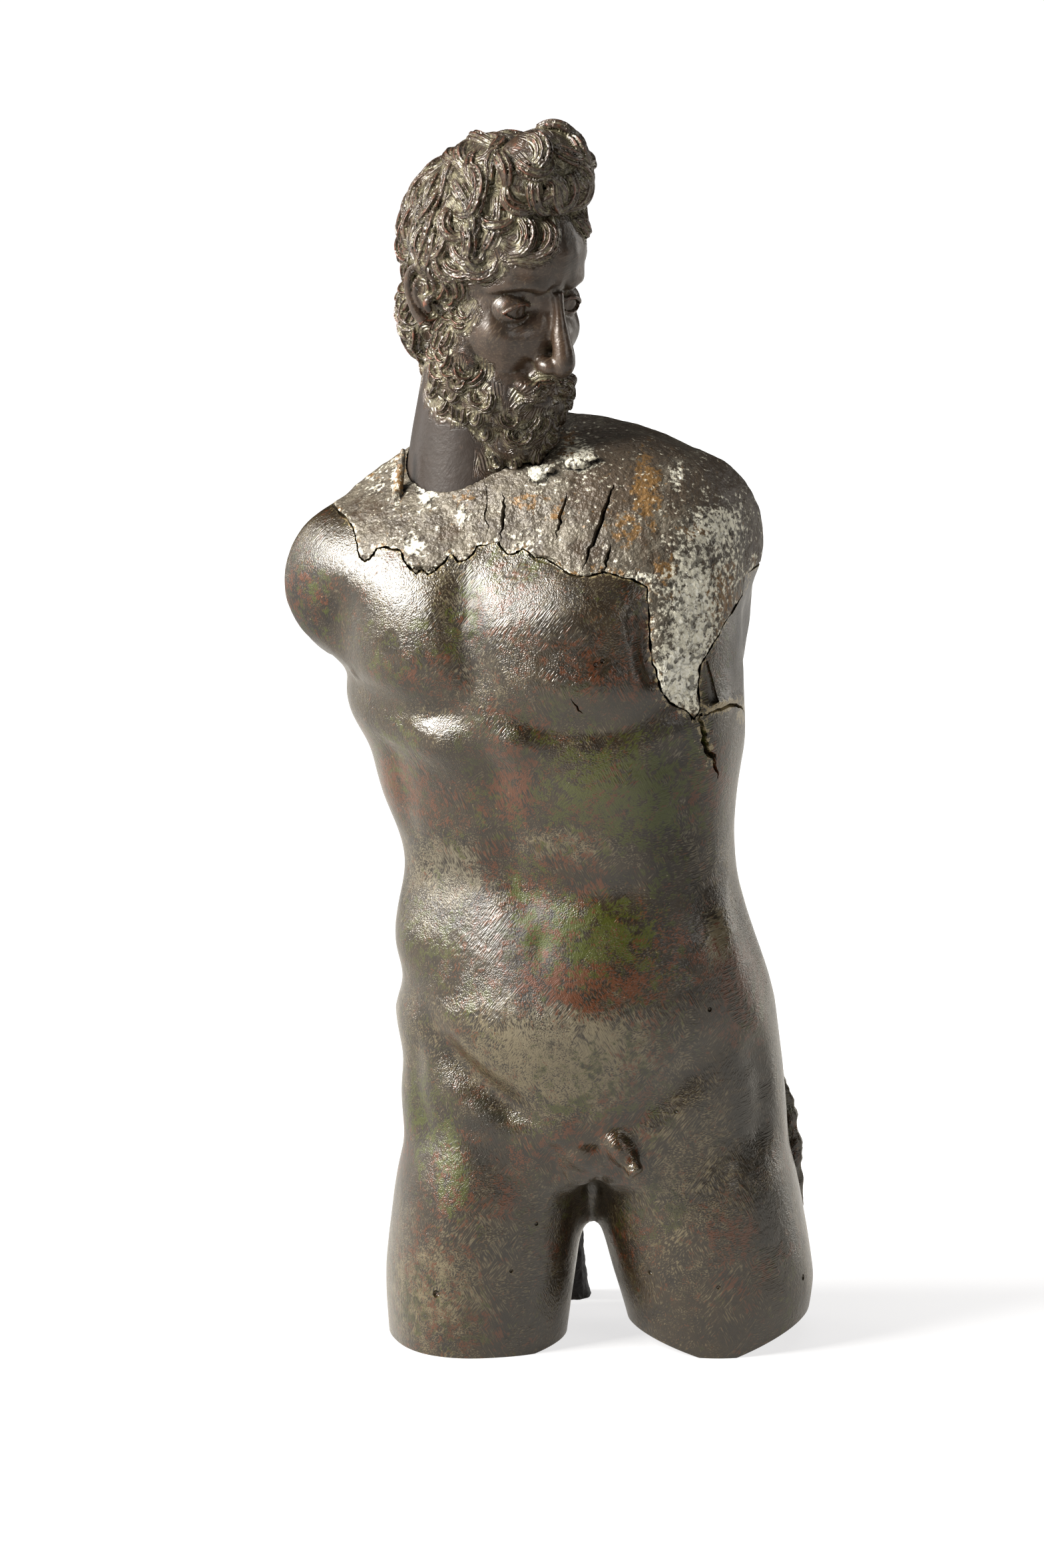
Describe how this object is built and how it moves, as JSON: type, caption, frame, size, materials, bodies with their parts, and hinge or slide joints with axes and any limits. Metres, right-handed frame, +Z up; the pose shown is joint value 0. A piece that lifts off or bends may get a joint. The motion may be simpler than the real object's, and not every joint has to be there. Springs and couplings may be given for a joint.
{
  "type": "bronze torso sculpture",
  "caption": "Cast bronze torso of a bearded nude man, head turned to its left, arms broken off and thighs cut short, with a corroded repair over the chest and a short prop behind.",
  "frame": {"origin": "middle of the box round the whole piece, on the plane that the thighs and the prop stand on", "axes": "+Z up, the front of the body towards -Y, the figure's left side towards +X"},
  "size_m": [0.1294, 0.0817, 0.3018],
  "materials": {
    "patinated_bronze": "dark brown patina, rubbed to a soft shine, with green and red-brown patches",
    "repair_bronze": "matt grey-brown repair metal with ochre stains and white corrosion",
    "head_bronze": "brown patina with grey deposit in the hair and worn high spots",
    "prop_metal": "rough dark metal"
  },
  "bodies": {
    "root": {"bronze_torso": "patinated_bronze", "shoulder_repair": "repair_bronze", "bronze_head": "head_bronze", "back_prop": "prop_metal"}
  },
  "joints": []
}
